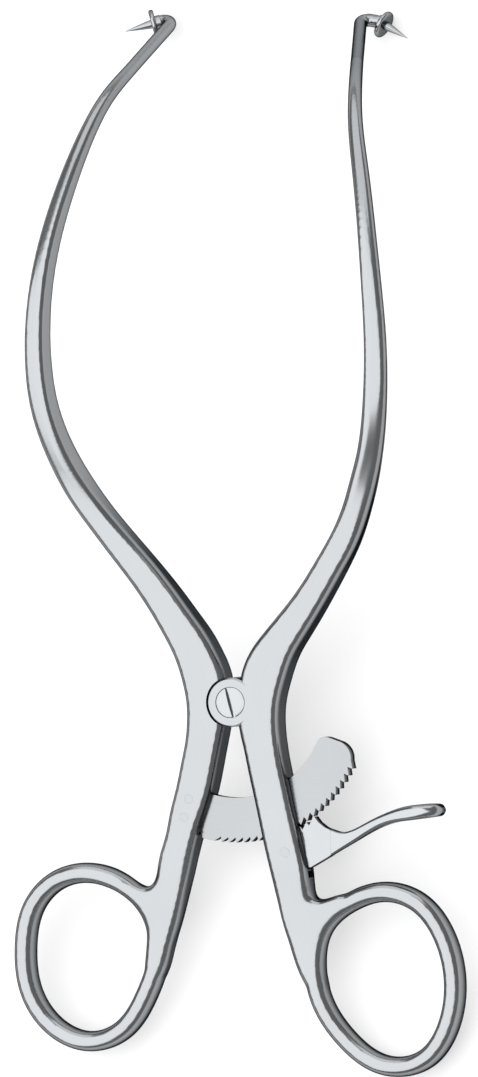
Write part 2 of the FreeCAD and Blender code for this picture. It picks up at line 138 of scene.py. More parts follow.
def flowing(marks, values, at):
    """A natural cubic spline through values at marks: second slopes solve one linear system, then each span is
    the cubic with those second slopes at its ends."""
    marks, values = np.asarray(marks, float), np.asarray(values, float)
    n = len(marks)
    h = np.diff(marks)
    system = np.eye(n)
    rise = np.zeros_like(values)
    inner = np.arange(1, n - 1)
    system[inner, inner - 1] = h[:-1]
    system[inner, inner] = 2 * (h[:-1] + h[1:])
    system[inner, inner + 1] = h[1:]
    rise[inner] = 6 * (np.diff(values, axis=0)[1:] / h[1:, None] - np.diff(values, axis=0)[:-1] / h[:-1, None])
    bend = np.linalg.solve(system, rise)
    k = np.clip(np.searchsorted(marks, at) - 1, 0, n - 2)
    a = ((marks[k + 1] - at) / h[k])[:, None]
    b = 1 - a
    return (a * values[k] + b * values[k + 1]
            + ((a ** 3 - a) * bend[k] + (b ** 3 - b) * bend[k + 1]) * h[k][:, None] ** 2 / 6)


def closed_flowing(points, steps):
    """The same spline round a closed line: the points are repeated once before and once after, and one lap is
    kept."""
    points = np.asarray(points, float)
    lap = np.concatenate((points, points, points, points[:1]))
    marks = run_of(lap)
    first, last = marks[len(points)], marks[2 * len(points)]
    at = first + (last - first) * np.arange(steps) / steps
    return flowing(marks, lap, at)


def rounded_rectangle(width, thick, corner, arc_steps):
    """Offsets across and through a bar: four quarter circles of the corner radius about hubs at half size less the
    corner, with two more points on each flat so that its shading stays flat."""
    quarter = np.linspace(0.0, math.pi / 2, arc_steps + 1)
    signs = ((1, 1), (-1, 1), (-1, -1), (1, -1))
    across, through = [], []
    for k, (sx, sz) in enumerate(signs):
        turn = quarter + k * math.pi / 2
        hub_x, hub_z = sx * (width / 2 - corner), sz * (thick / 2 - corner)
        xs = hub_x[:, None] + corner[:, None] * np.cos(turn)
        zs = hub_z[:, None] + corner[:, None] * np.sin(turn)
        nx, nz = signs[(k + 1) % 4]
        to_x = nx * (width / 2 - corner) + corner * math.cos(turn[-1])
        to_z = nz * (thick / 2 - corner) + corner * math.sin(turn[-1])
        across.append(xs)
        through.append(zs)
        for share in (0.12, 0.88):
            across.append((xs[:, -1] + (to_x - xs[:, -1]) * share)[:, None])
            through.append((zs[:, -1] + (to_z - zs[:, -1]) * share)[:, None])
    return np.concatenate(across, 1), np.concatenate(through, 1)


def carried(path, along, bank, across, through):
    """A profile carried along a path: at each step the side vector is the step's direction crossed with its front
    vector, which is +Z made square to the direction and turned about it by the bank."""
    front = np.array((0.0, 0.0, 1.0)) - along * along[:, 2:3]
    front = unit(front)
    c, s = np.cos(bank)[:, None], np.sin(bank)[:, None]
    front = front * c + np.cross(along, front) * s
    side = np.cross(along, front)
    return path[:, None] + side[:, None] * across[..., None] + front[:, None] * through[..., None]


def tube(rows, columns, closed, u, v):
    """Quads between neighbouring rows of a grid whose columns run round; the ends get a fan to one middle point.
    Each corner also gets its running length along the path and round the profile."""
    r = np.arange(rows if closed else rows - 1)[:, None]
    c = np.arange(columns)[None]
    corners = ((r, c), (r, c + 1), (r + 1, c + 1), (r + 1, c))
    quads = np.stack([(a % rows) * columns + b % columns for a, b in corners], -1).reshape(-1, 4)
    lay = np.stack([np.stack(np.broadcast_arrays(u[a], v[b]), -1) for a, b in corners], -2).reshape(-1, 2)
    if closed:
        return quads.tolist(), lay
    around = np.arange(columns)
    after = (around + 1) % columns
    head = np.stack((np.full(columns, rows * columns), after, around), -1)
    tail = (rows - 1) * columns + np.stack((np.full(columns, columns + 1), around, after), -1)
    ends = [np.stack((np.full(3 * columns, u[k]), np.repeat(v[:-1], 3)), -1) for k in (0, rows - 1)]
    return quads.tolist() + head.tolist() + tail.tolist(), np.concatenate([lay] + ends)


def surface(name, grid, closed):
    """An object made of a grid of points, one row per step of the path, with its place in its mesh. The UV map
    named grind holds the two running lengths in centimetres."""
    rows, columns = grid.shape[:2]
    points = grid.reshape(-1, 3)
    if not closed:
        points = np.concatenate((points, [grid[0].mean(0), grid[-1].mean(0)]))
    middle = np.concatenate((grid.mean(1), grid.mean(1)[:1]))
    rim = np.concatenate((grid[rows // 2], grid[rows // 2][:1]))
    u, v = [run_of(line) / 10 for line in (middle, rim)]
    faces, lay = tube(rows, columns, closed, u, v)
    return made_object(name, points, faces, lay)


def made_object(name, points, faces, lay):
    """A mesh from points in the joint's frame and faces, with the grind map set corner by corner."""
    mesh = bpy.data.meshes.new(name)
    mesh.from_pydata(placed(points).tolist(), [], faces)
    mesh.uv_layers.new(name="grind").data.foreach_set("uv", np.asarray(lay, np.float32).ravel())
    mesh.update()
    made = bpy.data.objects.new(name, mesh)
    bpy.context.scene.collection.objects.link(made)
    return made


def bar_and_rod(name, stations, tip, side):
    """The handle, joint and shank, then the straight rod, its elbow and the stem: one profile carried to the end."""
    rows = np.array(list(stations) + [(side * s[0],) + s[1:] for s in SHANK])
    marks = run_of(rows[:, :3])
    at = np.linspace(0.0, marks[-1], 300)
    line = flowing(marks, rows, at)
    sign = np.array((side, 1.0, 1.0))
    corner, stem, aim = tip * sign
    end = corner + stem - unit(aim) * (DISC_THICK / 2 + COLLAR / 2)
    down, out = unit(corner - rows[-1, :3]), unit(end - corner)
    turn = math.acos(float(down @ out))
    reach = ELBOW_R * math.tan(turn / 2)
    a, b = corner - down * reach, corner + out * reach
    inward = unit(out - down)
    hub = corner + inward * ELBOW_R / math.cos(turn / 2)
    sweep = np.linspace(0.0, turn, 14)[:, None]
    elbow = hub - ELBOW_R * (np.cos(sweep) * unit(hub - a) - np.sin(sweep) * down)
    straight = rows[-1, :3] + (a - rows[-1, :3]) * np.linspace(0.08, 0.96, 12)[:, None]
    stem_line = b + (end - b) * np.linspace(0.1, 1.0, 6)[:, None]
    path = np.concatenate((line[:, :3], straight, elbow, stem_line))
    rod = (2 * ROD_R, 2 * ROD_R, ROD_ROUND * ROD_R)
    sizes = np.concatenate((line[:, 3:], np.tile(rod, (len(path) - len(line), 1))))
    along = unit(np.gradient(path, axis=0))
    bank = np.radians(side * BANK) * np.clip((path[:, 1] - BANK_FROM) / (BANK_FULL - BANK_FROM), 0, 1)
    across, through = rounded_rectangle(sizes[:, 0], sizes[:, 1], sizes[:, 2], CORNER_STEPS)
    return surface(name, carried(path, along, bank, across, through), False), path


def finger_ring(name, middle_line, steps=200):
    """A full oval carried round the ring's closed middle line: cosine and sine to the oval power, signs kept."""
    line = closed_flowing(np.array([(x, y, MID) for x, y in middle_line]), steps)
    along = unit(np.roll(line, -1, 0) - np.roll(line, 1, 0))
    turn = np.linspace(0.0, 2 * math.pi, 36, endpoint=False)
    full = [np.sign(wave) * np.abs(wave) ** OVAL_POWER for wave in (np.cos(turn), np.sin(turn))]
    across = np.tile(RING_W / 2 * full[0], (steps, 1))
    through = np.tile(RING_T / 2 * full[1], (steps, 1))
    return surface(name, carried(line, along, np.zeros(steps), across, through), True), line


def turned_piece(name, seat, aim, profile, steps=32, closed=False):
    """A profile of distance and radius turned about an axis: each row is a circle square to the aim. Where the
    profile is closed, its last circle meets its first."""
    aim = unit(np.asarray(aim, float))
    across = unit(np.cross(aim, (0.0, 0.0, 1.0) if abs(aim[2]) < 0.9 else (1.0, 0.0, 0.0)))
    up = np.cross(aim, across)
    turn = np.linspace(0.0, 2 * math.pi, steps, endpoint=False)
    ring = across * np.cos(turn)[:, None] + up * np.sin(turn)[:, None]
    profile = np.asarray(profile, float)
    grid = seat + aim * profile[:, 0, None, None] + ring[None] * profile[:, 1, None, None]
    return surface(name, grid, closed)


def prong(name, tip, side):
    """The collar behind the disc, the tenon through it and the prong, ground to a point in a slightly full curve."""
    corner, stem, aim = tip * np.array((side, 1.0, 1.0))
    half = DISC_THICK / 2
    share = np.linspace(0.0, 1.0, 14)
    reach = half + DISC_CLEAR + (PRONG_LEN - half - DISC_CLEAR) * share
    radius = PRONG_R + (PRONG_POINT_R - PRONG_R) * share ** 1.15
    collar_r = ROD_R + COLLAR_PROUD
    profile = [(-half - COLLAR, 0.8 * ROD_R), (-half - 0.85 * COLLAR, collar_r), (-half, collar_r),
               (-half + 0.01, PRONG_R)]
    profile += list(zip(reach, radius))
    return turned_piece(name, corner + stem, aim, profile)


def cylinder(name, radius, z0, z1, soften=0.0, x=0.0, y=0.0, steps=96):
    """A disc square to the joint's face: circles of cosine and sine about x, y, with rims softened by two
    smaller end circles."""
    if soften:
        rows = [(z0, radius - soften), (z0 + soften, radius), (z1 - soften, radius), (z1, radius - soften)]
    else:
        rows = [(z0, radius), (z1, radius)]
    rows = np.array(rows)
    turn = np.linspace(0.0, 2 * math.pi, steps, endpoint=False)
    ring = np.stack((np.cos(turn), np.sin(turn), np.zeros(steps)), -1)
    grid = np.array((x, y, 0.0)) + ring[None] * rows[:, 1, None, None] + np.array((0, 0, 1.0)) * rows[:, 0, None, None]
    return surface(name, grid, False)


def plate(name, outline, z0, z1, soften=0.0):
    """A flat piece: its outline at two heights, walls of one quad a side, two flat ends, edges softened by a
    bevel."""
    outline = np.asarray(outline, float)[:, :2]
    n = len(outline)
    points = np.concatenate([np.column_stack((outline, np.full(n, z))) for z in (z0, z1)])
    k = np.arange(n)
    walls = np.stack((k, (k + 1) % n, n + (k + 1) % n, n + k), -1)
    faces = walls.tolist() + [k[::-1].tolist(), (n + k).tolist()]
    corners = np.concatenate([np.asarray(f) for f in faces])
    piece = outward(made_object(name, points, faces, points[corners, :2] / 10))
    return softened(piece, soften) if soften else piece


def softened(piece, width):
    """Edges sharper than 30 degrees get a narrow rounded bevel of a width in mm."""
    step = piece.modifiers.new("soften", "BEVEL")
    step.width = width * MM
    step.segments = 2
    step.limit_method = "ANGLE"
    step.angle_limit = math.radians(30.0)
    return settled(piece)


# Points nearer than this, in metres, are one
SAME_SPOT = 1e-6


def settled(piece):
    """The mesh that the modifiers give becomes the piece's own."""
    bpy.context.view_layer.update()
    fresh = bpy.data.meshes.new_from_object(piece.evaluated_get(bpy.context.evaluated_depsgraph_get()))
    piece.modifiers.clear()
    piece.data = fresh
    return piece


def outward(piece):
    """Faces turned to point out of a closed mesh."""
    work = bmesh.new()
    work.from_mesh(piece.data)
    bmesh.ops.recalc_face_normals(work, faces=work.faces)
    work.to_mesh(piece.data)
    work.free()
    return piece


def polar(radius, degrees):
    """A point in the plane of the arc: x is the radius times the sine, y minus the radius times the cosine."""
    turn = np.radians(degrees)
    return np.stack(np.broadcast_arrays(radius * np.sin(turn), -radius * np.cos(turn)), -1)


def sector(r0, r1, from_deg, to_deg):
    """The outline between two radii and two angles, a point each degree."""
    out = np.linspace(from_deg, to_deg, int(abs(to_deg - from_deg)) + 2)
    return np.concatenate((polar(r0, out), polar(r1, out[::-1])))


def joined(base, other, operation="UNION"):
    """Two closed solids united, or one cut by the other; the second is used up."""
    outward(base)
    outward(other)
    step = base.modifiers.new("join", "BOOLEAN")
    step.operation = operation
    step.solver = "EXACT"
    step.object = other
    settled(base)
    bpy.data.objects.remove(other)
    work = bmesh.new()
    work.from_mesh(base.data)
    bmesh.ops.remove_doubles(work, verts=work.verts, dist=SAME_SPOT)
    work.to_mesh(base.data)
    work.free()
    return base


def cut(base, *tools):
    """The base with each tool taken out of it in turn."""
    for tool in tools:
        joined(base, tool, "DIFFERENCE")


# The skin's cell in mm. Near the notch its points move this many times by the full share of the way, which falls
# off towards the reach; everywhere they make the first few moves by the light share.
SKIN_MM = 0.3
MOVES = 60
FULL_SHARE = 0.6
FALL_OFF = 1.6
LIGHT_MOVES = 3
LIGHT_SHARE = 0.4


def blended(piece, lines, notch, reach):
    """One even skin over the joined shapes. Near the notch each point is then moved many times towards the middle of
    its neighbours, which leaves the fillet of a forging; elsewhere a few light moves even it out. The grind map is
    laid anew: running length along the nearest middle line, and height plus distance across it."""
    skin = piece.modifiers.new("skin", "REMESH")
    skin.mode = "VOXEL"
    skin.voxel_size = SKIN_MM * MM
    settled(piece)
    mesh = piece.data
    n = len(mesh.vertices)
    spots = np.empty(3 * n, np.float32)
    mesh.vertices.foreach_get("co", spots)
    spots = spots.reshape(-1, 3).astype(float)
    pairs = np.empty(2 * len(mesh.edges), np.int32)
    mesh.edges.foreach_get("vertices", pairs)
    pairs = pairs.reshape(-1, 2)
    friends = np.bincount(pairs.ravel(), minlength=n)[:, None]
    away = np.linalg.norm(spots - placed(notch), axis=1) / (reach * MM)
    near = FULL_SHARE * np.clip(FALL_OFF * (1 - away), 0, 1)[:, None]
    for move in range(MOVES):
        share = near if move >= LIGHT_MOVES else np.maximum(near, LIGHT_SHARE)
        total = np.stack([np.bincount(pairs[:, 0], spots[pairs[:, 1], k], n)
                          + np.bincount(pairs[:, 1], spots[pairs[:, 0], k], n) for k in range(3)], -1)
        spots += (total / friends - spots) * share
    mesh.vertices.foreach_set("co", spots.astype(np.float32).ravel())
    middle = placed(np.concatenate(lines))
    run = np.concatenate([np.cumsum(np.linalg.norm(np.gradient(line, axis=0), axis=1)) for line in lines]) / 10
    closest = np.concatenate([np.argmin(((part[:, None] - middle[None]) ** 2).sum(-1), 1)
                              for part in np.array_split(spots, 40)])
    offset = (spots - middle[closest]) * 100  # centimetres, as the runs are
    lay = np.stack((run[closest], np.hypot(offset[:, 0], offset[:, 1]) * np.sign(offset[:, 0]) + offset[:, 2]), -1)
    corners = np.empty(len(mesh.loops), np.int32)
    mesh.loops.foreach_get("vertex_index", corners)
    grind = mesh.uv_layers.get("grind") or mesh.uv_layers.new(name="grind")
    grind.data.foreach_set("uv", lay[corners].astype(np.float32).ravel())
    mesh.update()
    return piece


def steel_colour(code):
    """An sRGB hex code as linear red, green, blue and 1: each channel is c/12.92, or ((c+0.055)/1.055) to 2.4."""
    parts = [int(code[k:k + 2], 16) / 255.0 for k in (1, 3, 5)]
    return tuple(c / 12.92 if c <= 0.04045 else ((c + 0.055) / 1.055) ** 2.4 for c in parts) + (1.0,)


def node(tree, kind, settings=None, **links):
    """One shader node: attributes first, then each input by its name, from a value or from another node's output."""
    made = tree.nodes.new(kind)
    for name, value in (settings or {}).items():
        if hasattr(made, name):
            setattr(made, name, value)
        else:
            made.inputs[name].default_value = value
    for name, source in links.items():
        tree.links.new(source, made.inputs[name.replace("_", " ")])
    return made


def bare_material(name):
    """A material whose node tree is still empty, and that tree."""
    material = bpy.data.materials.new(name)
    material.use_nodes = True
    material.node_tree.nodes.clear()
    return material, material.node_tree


# All the steel is metal whose black edge tint takes the shine off where it turns away: the eye gets the dark
# outlines that polished steel has in a white room.
STEEL = {"Metallic": 1.0, "Specular Tint": steel_colour("#000000")}
# Height of the marks in metres, at a relief of 1, and how far the roughness varies to either side
MARK_DEEP = 0.00001
UNEVEN = 0.05


def satin_steel(name, colour, roughness, line_mm, relief, cloud_mm):
    """Stainless steel ground on a belt and polished: fine lines that follow the grind map, drawn about 0.35 mm
    wide where the real ones are a tenth of that, and wide faint clouds where the polish is a little uneven."""
    material, tree = bare_material(name)
    lay = node(tree, "ShaderNodeUVMap", {"uv_map": "grind"})
    along = node(tree, "ShaderNodeMapping", {"Scale": (10.0 / line_mm[0], 10.0 / line_mm[1], 1.0)},
                 Vector=lay.outputs["UV"])
    lines = node(tree, "ShaderNodeTexNoise", {"Scale": 1.0, "Detail": 2.0}, Vector=along.outputs["Vector"])
    place = node(tree, "ShaderNodeTexCoord")
    clouds = node(tree, "ShaderNodeTexNoise", {"Scale": 1000.0 / cloud_mm, "Detail": 2.0},
                  Vector=place.outputs["Object"])
    both = node(tree, "ShaderNodeMath", {"operation": "ADD"})
    tree.links.new(lines.outputs["Fac"], both.inputs[0])
    tree.links.new(clouds.outputs["Fac"], both.inputs[1])
    spread = node(tree, "ShaderNodeMapRange",
                  {"From Min": 0.6, "From Max": 1.4, "To Min": roughness - UNEVEN, "To Max": roughness + UNEVEN},
                  Value=both.outputs["Value"])
    tone = node(tree, "ShaderNodeMix", {"data_type": "RGBA"}, Factor=clouds.outputs["Fac"])
    for socket, code in zip(tone.inputs[6:8], colour):  # the colour sockets A and B
        socket.default_value = steel_colour(code)
    bump = node(tree, "ShaderNodeBump", {"Strength": relief, "Distance": MARK_DEEP}, Height=lines.outputs["Fac"])
    shader = node(tree, "ShaderNodeBsdfPrincipled", STEEL, Base_Color=tone.outputs[2],
                  Roughness=spread.outputs["Result"], Normal=bump.outputs["Normal"])
    node(tree, "ShaderNodeOutputMaterial", Surface=shader.outputs["BSDF"])
    return material


def finished(piece, material, sharp=32.0):
    """Smooth shading with the ground edges kept crisp, and the finish put on."""
    outward(piece)
    mesh = piece.data
    mesh.materials.clear()
    mesh.materials.append(material)
    mesh.polygons.foreach_set("use_smooth", np.ones(len(mesh.polygons), bool))
    mesh.set_sharp_from_angle(angle=math.radians(sharp))
    return piece


# Satin: the eye gets a broad soft sheen that goes dark only where the surface turns away.
forged_steel = satin_steel("satin_ground_stainless_forging", ("#8C8E90", "#929496"), 0.2, (9.0, 0.35), 0.25, 14.0)

# The toothed arc and the two rivets that hold it sit in this lever's handle
BAR_IN = 17.2
BAR_TIP = 25.3
TOOTH = 0.9
BAR_ROOT = BAR_TIP - TOOTH
BAR_TAIL = -31.0
BAR_THICK = 2.2
RIVET_R = 0.8
RIVETS = ((19.2, -26.6), (22.6, -25.2))
# Gaps in mm: round a pressed pin, and round the arc's root in its mortise, which opens at an angle in degrees
HAIRLINE = 0.015
MORTISE_GAP = 0.04
MORTISE_PAST = 0.3
MORTISE_MOUTH = -8.0
THREAD_HOLE_R = 1.47
# The web's half thickness and rounded edge in mm, and how far round the notch the fillet reaches
WEB_HALF = 2.75
WEB_SOFT = 0.7
FILLET_REACH = 9.0

lap_back, lap_front = MID - LAP_GAP / 2, MID + LAP_GAP / 2
bar_back, bar_front = MID - BAR_THICK / 2, MID + BAR_THICK / 2
# The metal that fills the notch between handle and ring
LEFT_WEB = ((-16.0, -30.6), (-16.7, -32.3), (-17.5, -33.1), (-18.6, -33.0), (-20.0, -32.1), (-20.4, -34.4),
            (-17.6, -38.4), (-14.5, -36.0), (-14.0, -31.0))
left_forging, left_line = bar_and_rod("left_lever_forging", LEFT_BAR, LEFT_TIP, -1.0)
left_ring, left_ring_line = finger_ring("left_ring", LEFT_RING)
joined(left_forging, left_ring)
joined(left_forging, plate("left_web", LEFT_WEB, MID - WEB_HALF, MID + WEB_HALF, WEB_SOFT))
blended(left_forging, (left_line, left_ring_line), (-17.5, -35.0, MID), FILLET_REACH)
joined(left_forging, prong("left_prong", LEFT_TIP, -1.0))
joined(left_forging, cylinder("left_ear", EAR_R, EAR_SHORT, THICK - PAST, EAR_SOFT))
cut(left_forging,
    cylinder("left_recess", EAR_R + EAR_CLEAR, lap_back, THICK + PAST),
    cylinder("thread_hole", THREAD_HOLE_R, -PAST, THICK),
    plate("mortise", sector(BAR_IN - MORTISE_GAP, BAR_ROOT + MORTISE_GAP, BAR_TAIL - MORTISE_PAST, MORTISE_MOUTH),
          bar_back - MORTISE_GAP, bar_front + MORTISE_GAP),
    *(cylinder("rivet_hole", RIVET_R + HAIRLINE, -PAST, THICK + PAST, 0.0, *polar(*rivet)) for rivet in RIVETS))
finished(left_forging, forged_steel)
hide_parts("left_lever")
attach(left_forging, "left_half")

# ---------------------------------------------------------------------------------------------------
# Right lever
# The matching forging: front half of the lap with the seat of the screw, and the slots for the toothed arc
# and the release lever in its handle. It lies over the left lever at the joint and is free to turn.

RIGHT_BAR = (
    (14.6, -54.0, MID, 2.6, 4.6, 1.2), (13.5, -50.8, MID, 3.7, 5.2, 1.6), (12.6, -47.9, MID, 4.6, 5.4, 1.6),
    (12.1, -45.1, MID, 5.4, 5.5, 1.6), (11.5, -42.2, MID, 5.9, 5.7, 1.6), (10.8, -39.3, MID, 6.0, 5.9, 1.2),
    (10.25, -35.6, MID, 6.4, 6.4, 1.6), (9.5, -30.6, MID, 6.8, 6.8, 1.6), (8.6, -26.0, MID, 6.9, THICK, 1.6),
    (7.6, -21.0, MID, 6.8, THICK, 1.6), (6.75, -16.4, MID, 6.8, THICK, 1.6),
    (5.8, -11.5, MID, 6.8, THICK, 1.6), (5.2, -7.6, MID, 7.0, THICK, 1.6),
    (4.75, -3.8, MID, 7.5, THICK, 1.6), (4.95, 0.0, MID, 7.7, THICK, 1.6), (5.85, 4.2, MID, 8.1, THICK, 1.6),
    (7.25, 7.4, MID, 7.7, THICK, 1.6), (9.15, 10.3, MID, 6.8, THICK, 1.6),
    (11.45, 13.2, MID, 6.2, THICK, 1.6), (14.65, 17.3, MID, 5.6, 6.8, 1.6), (19.15, 24.0, MID, 5.2, 6.3, 1.6),
    (22.25, 29.0, 3.9, 5.1, 5.8, 1.6), (24.8, 34.0, 5.0, 4.9, 5.5, 1.6),
)
RIGHT_TIP = np.array(((17.56, 122.3, -26.5), (4.47, -1.33, 0.3), (5.21, -2.96, 0.66)))
RIGHT_RING = ((27.1, -34.8), (20.8, -36.4), (15.1, -41.0), (13.3, -47.4), (14.4, -54.2), (18.8, -61.0),
              (26.0, -65.9), (33.8, -64.9), (38.5, -58.6), (39.8, -51.4), (38.0, -42.8), (33.4, -36.8))
HEAD_R = 2.75
HEAD_DEPTH = 1.3
NECK_R = 1.75
TURN_CLEAR = 0.05
# The arc's slot: play beside and round the arc in mm, and its two ends in degrees
BAR_SIDE = 0.2
BAR_ROUND = 0.3
SLOT_FROM = 2.0
SLOT_TO = 46.0
PIN_AT = (9.4, -27.2)
PIN_R = 0.9
BOSS_R = 2.6
POCKET_CLEAR = 0.3
# Each cutter is this much thicker than the one before, so that no two of their faces meet
CUT_STEP = 0.01
# Room in the handle for the swinging release lever, and the pit of its spring
SWING_ROOM = ((8.9, -24.4), (9.3, -22.5), (16.0, -18.0), (18.0, -31.9), (12.4, -31.9), (9.4, -30.1))
SPRING_PIT = ((8.75, -29.5), (8.75, -36.2), (10.1, -36.2), (10.1, -33.2), (11.3, -31.9), (14.5, -31.9),
              (14.5, -29.5))

RIGHT_WEB = ((11.5, -33.5), (12.95, -34.0), (13.3, -35.4), (14.3, -36.1), (16.0, -35.8), (19.2, -34.8), (20.8, -36.8),
             (16.0, -41.4), (12.0, -42.0))

slot_back, slot_front = bar_back - BAR_SIDE, bar_front + BAR_SIDE
right_forging, right_line = bar_and_rod("right_lever_forging", RIGHT_BAR, RIGHT_TIP, 1.0)
right_ring, right_ring_line = finger_ring("right_ring", RIGHT_RING)
joined(right_forging, right_ring)
joined(right_forging, plate("right_web", RIGHT_WEB, MID - WEB_HALF, MID + WEB_HALF, WEB_SOFT))
blended(right_forging, (right_line, right_ring_line), (14.5, -38.5, MID), FILLET_REACH)
joined(right_forging, prong("right_prong", RIGHT_TIP, 1.0))
joined(right_forging, cylinder("right_ear", EAR_R, PAST, THICK - EAR_SHORT, EAR_SOFT))
cut(right_forging,
    cylinder("right_recess", EAR_R + EAR_CLEAR, -PAST, lap_front),
    cylinder("neck_hole", NECK_R + TURN_CLEAR, -PAST, THICK + PAST),
    cylinder("screw_seat", HEAD_R + TURN_CLEAR, THICK - HEAD_DEPTH - TURN_CLEAR, THICK + PAST),
    plate("arc_slot", sector(BAR_IN - BAR_ROUND, BAR_TIP + BAR_ROUND, SLOT_FROM, SLOT_TO), slot_back, slot_front),
    cylinder("boss_room", BOSS_R + POCKET_CLEAR, slot_back - CUT_STEP, slot_front + CUT_STEP, 0.0, *PIN_AT),
    plate("swing_room", SWING_ROOM, slot_back - 2 * CUT_STEP, slot_front + 2 * CUT_STEP),
    plate("spring_pit", SPRING_PIT, slot_back - 3 * CUT_STEP, slot_front + 3 * CUT_STEP),
    cylinder("pin_hole", PIN_R + HAIRLINE, -PAST, THICK + PAST, 0.0, *PIN_AT))
finished(right_forging, forged_steel)
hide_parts("right_lever")
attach(right_forging, "right_half")

# ---------------------------------------------------------------------------------------------------
# Pivot screw
# A turned stainless screw: slotted head with a low dome, sunk in the right lever, its thread in the left one.
# The lathe leaves fine rings round the axis.

HEAD_DOME = 0.35
THREAD_R = 1.45
SLOT_W = 0.6
SLOT_DEPTH = 0.8
SLOT_HALF_LEN = 6.0
SLOT_LEAN = math.radians(13.0)
# Wave texture's scale at which one wave fills one unit
WAVE_PER_UNIT = 0.314


def turned_steel(name, colour, roughness, centre, ring_mm):
    """Steel off the lathe: rings round the axis through the centre, a ring every ring_mm, coarser than the real
    feed of some hundredths of a millimetre so that they show."""
    material, tree = bare_material(name)
    place = node(tree, "ShaderNodeTexCoord")
    centred = node(tree, "ShaderNodeMapping",
                   {"vector_type": "TEXTURE", "Location": tuple(centre), "Rotation": (REST_PITCH, 0.0, 0.0),
                    "Scale": (ring_mm * MM,) * 3}, Vector=place.outputs["Object"])
    rings = node(tree, "ShaderNodeTexWave", {"wave_type": "RINGS", "rings_direction": "Z", "Scale": WAVE_PER_UNIT,
                                             "Distortion": 0.4, "Detail": 1.0}, Vector=centred.outputs["Vector"])
    spread = node(tree, "ShaderNodeMapRange", {"To Min": roughness - 0.03, "To Max": roughness + UNEVEN},
                  Value=rings.outputs["Fac"])
    bump = node(tree, "ShaderNodeBump", {"Strength": 0.2, "Distance": MARK_DEEP}, Height=rings.outputs["Fac"])
    shader = node(tree, "ShaderNodeBsdfPrincipled", {**STEEL, "Base Color": steel_colour(colour)},
                  Roughness=spread.outputs["Result"], Normal=bump.outputs["Normal"])
    node(tree, "ShaderNodeOutputMaterial", Surface=shader.outputs["BSDF"])
    return material


seat_z = THICK - HEAD_DEPTH
dome = [(THICK + HEAD_DOME * (1 - k ** 2), (HEAD_R - 0.2) * k) for k in (0.96, 0.85, 0.7, 0.5, 0.3, 0.12)]
head_profile = [(0.0, THREAD_R), (lap_back, THREAD_R), (lap_back + 0.02, NECK_R), (seat_z, NECK_R),
                (seat_z + 0.02, HEAD_R - 0.1), (seat_z + 0.12, HEAD_R), (THICK - 0.2, HEAD_R),
                (THICK - 0.08, HEAD_R - 0.05)] + dome
screw = turned_piece("pivot_screw_turned", np.zeros(3), (0.0, 0.0, 1.0), head_profile, 96)
c, s = math.cos(SLOT_LEAN), math.sin(SLOT_LEAN)
slot_corners = np.array(((-1, -1), (1, -1), (1, 1), (-1, 1))) * (SLOT_W / 2, SLOT_HALF_LEN)
slot_outline = slot_corners @ np.array(((c, s), (-s, c)))
cut(screw, plate("driver_slot", slot_outline, THICK + HEAD_DOME - SLOT_DEPTH, THICK + 2 * PAST))
# Lathe-turned: the eye gets a disc whose sheen runs round the slot rather than along the lever.
finished(screw, turned_steel("lathe_turned_stainless_screw", "#96989A", 0.2, PIVOT, 0.25))
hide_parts("pivot_screw")
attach(screw, "right_half")

# ---------------------------------------------------------------------------------------------------
# Toothed arc and its rivets
# A hardened strip cut to an arc round the screw: slanting teeth on its outer edge, end rounded. Its root is
# let into the left handle and held by two rivets, which are filed flush.

# Angles in degrees about the screw, radii in mm
TEETH_FROM = -8.0
PITCH = 3.25
TEETH = 22
LAND = 0.35
LEAN = 0.3
SHOULDER = ((BAR_TIP - 0.3, -17.2), (BAR_TIP, -16.3))
BAR_END = 69.0
BAR_END_MID = (23.4, 66.8)
BAR_END_TOP = 20.8
LIP = 2.0
ARC_SOFT = 0.13


def arc_through(a, b, c, steps):
    """Points on the circle through three points: its centre solves two distance equations, then even angles."""
    a, b, c = (np.asarray(p, float) for p in (a, b, c))
    centre = np.linalg.solve(2 * np.array((b - a, c - a)), np.array((b @ b - a @ a, c @ c - a @ a)))
    angles = np.unwrap([math.atan2(*(p - centre)[::-1]) for p in (a, b, c)])
    turn = np.linspace(angles[0], angles[2], steps)
    return centre + np.linalg.norm(a - centre) * np.stack((np.cos(turn), np.sin(turn)), -1)


starts = TEETH_FROM + PITCH * np.arange(TEETH)
teeth = np.stack((polar(BAR_ROOT, starts - LEAN), polar(BAR_TIP, starts), polar(BAR_TIP, starts + LAND)), 1)
toe = polar(BAR_ROOT, TEETH_FROM + TEETH * PITCH - LEAN)
round_end = arc_through(toe, polar(*BAR_END_MID), polar(BAR_END_TOP, BAR_END), 12)
# The inner corner of the end is rounded by a quadratic curve from a lip's length before it to one behind it
inner_corner, lip_deg = polar(BAR_IN, BAR_END), BAR_END - math.degrees(LIP / BAR_IN)
share = np.linspace(0.0, 1.0, 9)[:, None]
inner_lip = (polar(BAR_IN + LIP, BAR_END) * (1 - share) ** 2 + 2 * inner_corner * share * (1 - share)
             + polar(BAR_IN, lip_deg) * share ** 2)
inner_arc = polar(BAR_IN, np.linspace(lip_deg - 1.0, BAR_TAIL, 90))
outer_root = polar(BAR_ROOT, np.linspace(BAR_TAIL, -17.6, 14))
shoulder = np.stack([polar(*spot) for spot in SHOULDER])
outer_plain = polar(BAR_TIP, np.linspace(-15.5, TEETH_FROM - PITCH + LAND, 5))
arc_outline = np.concatenate((outer_root, shoulder, outer_plain, teeth.reshape(-1, 2), round_end, inner_lip,
                              inner_arc))
toothed_arc = plate("toothed_arc", arc_outline, bar_back, bar_front, ARC_SOFT)
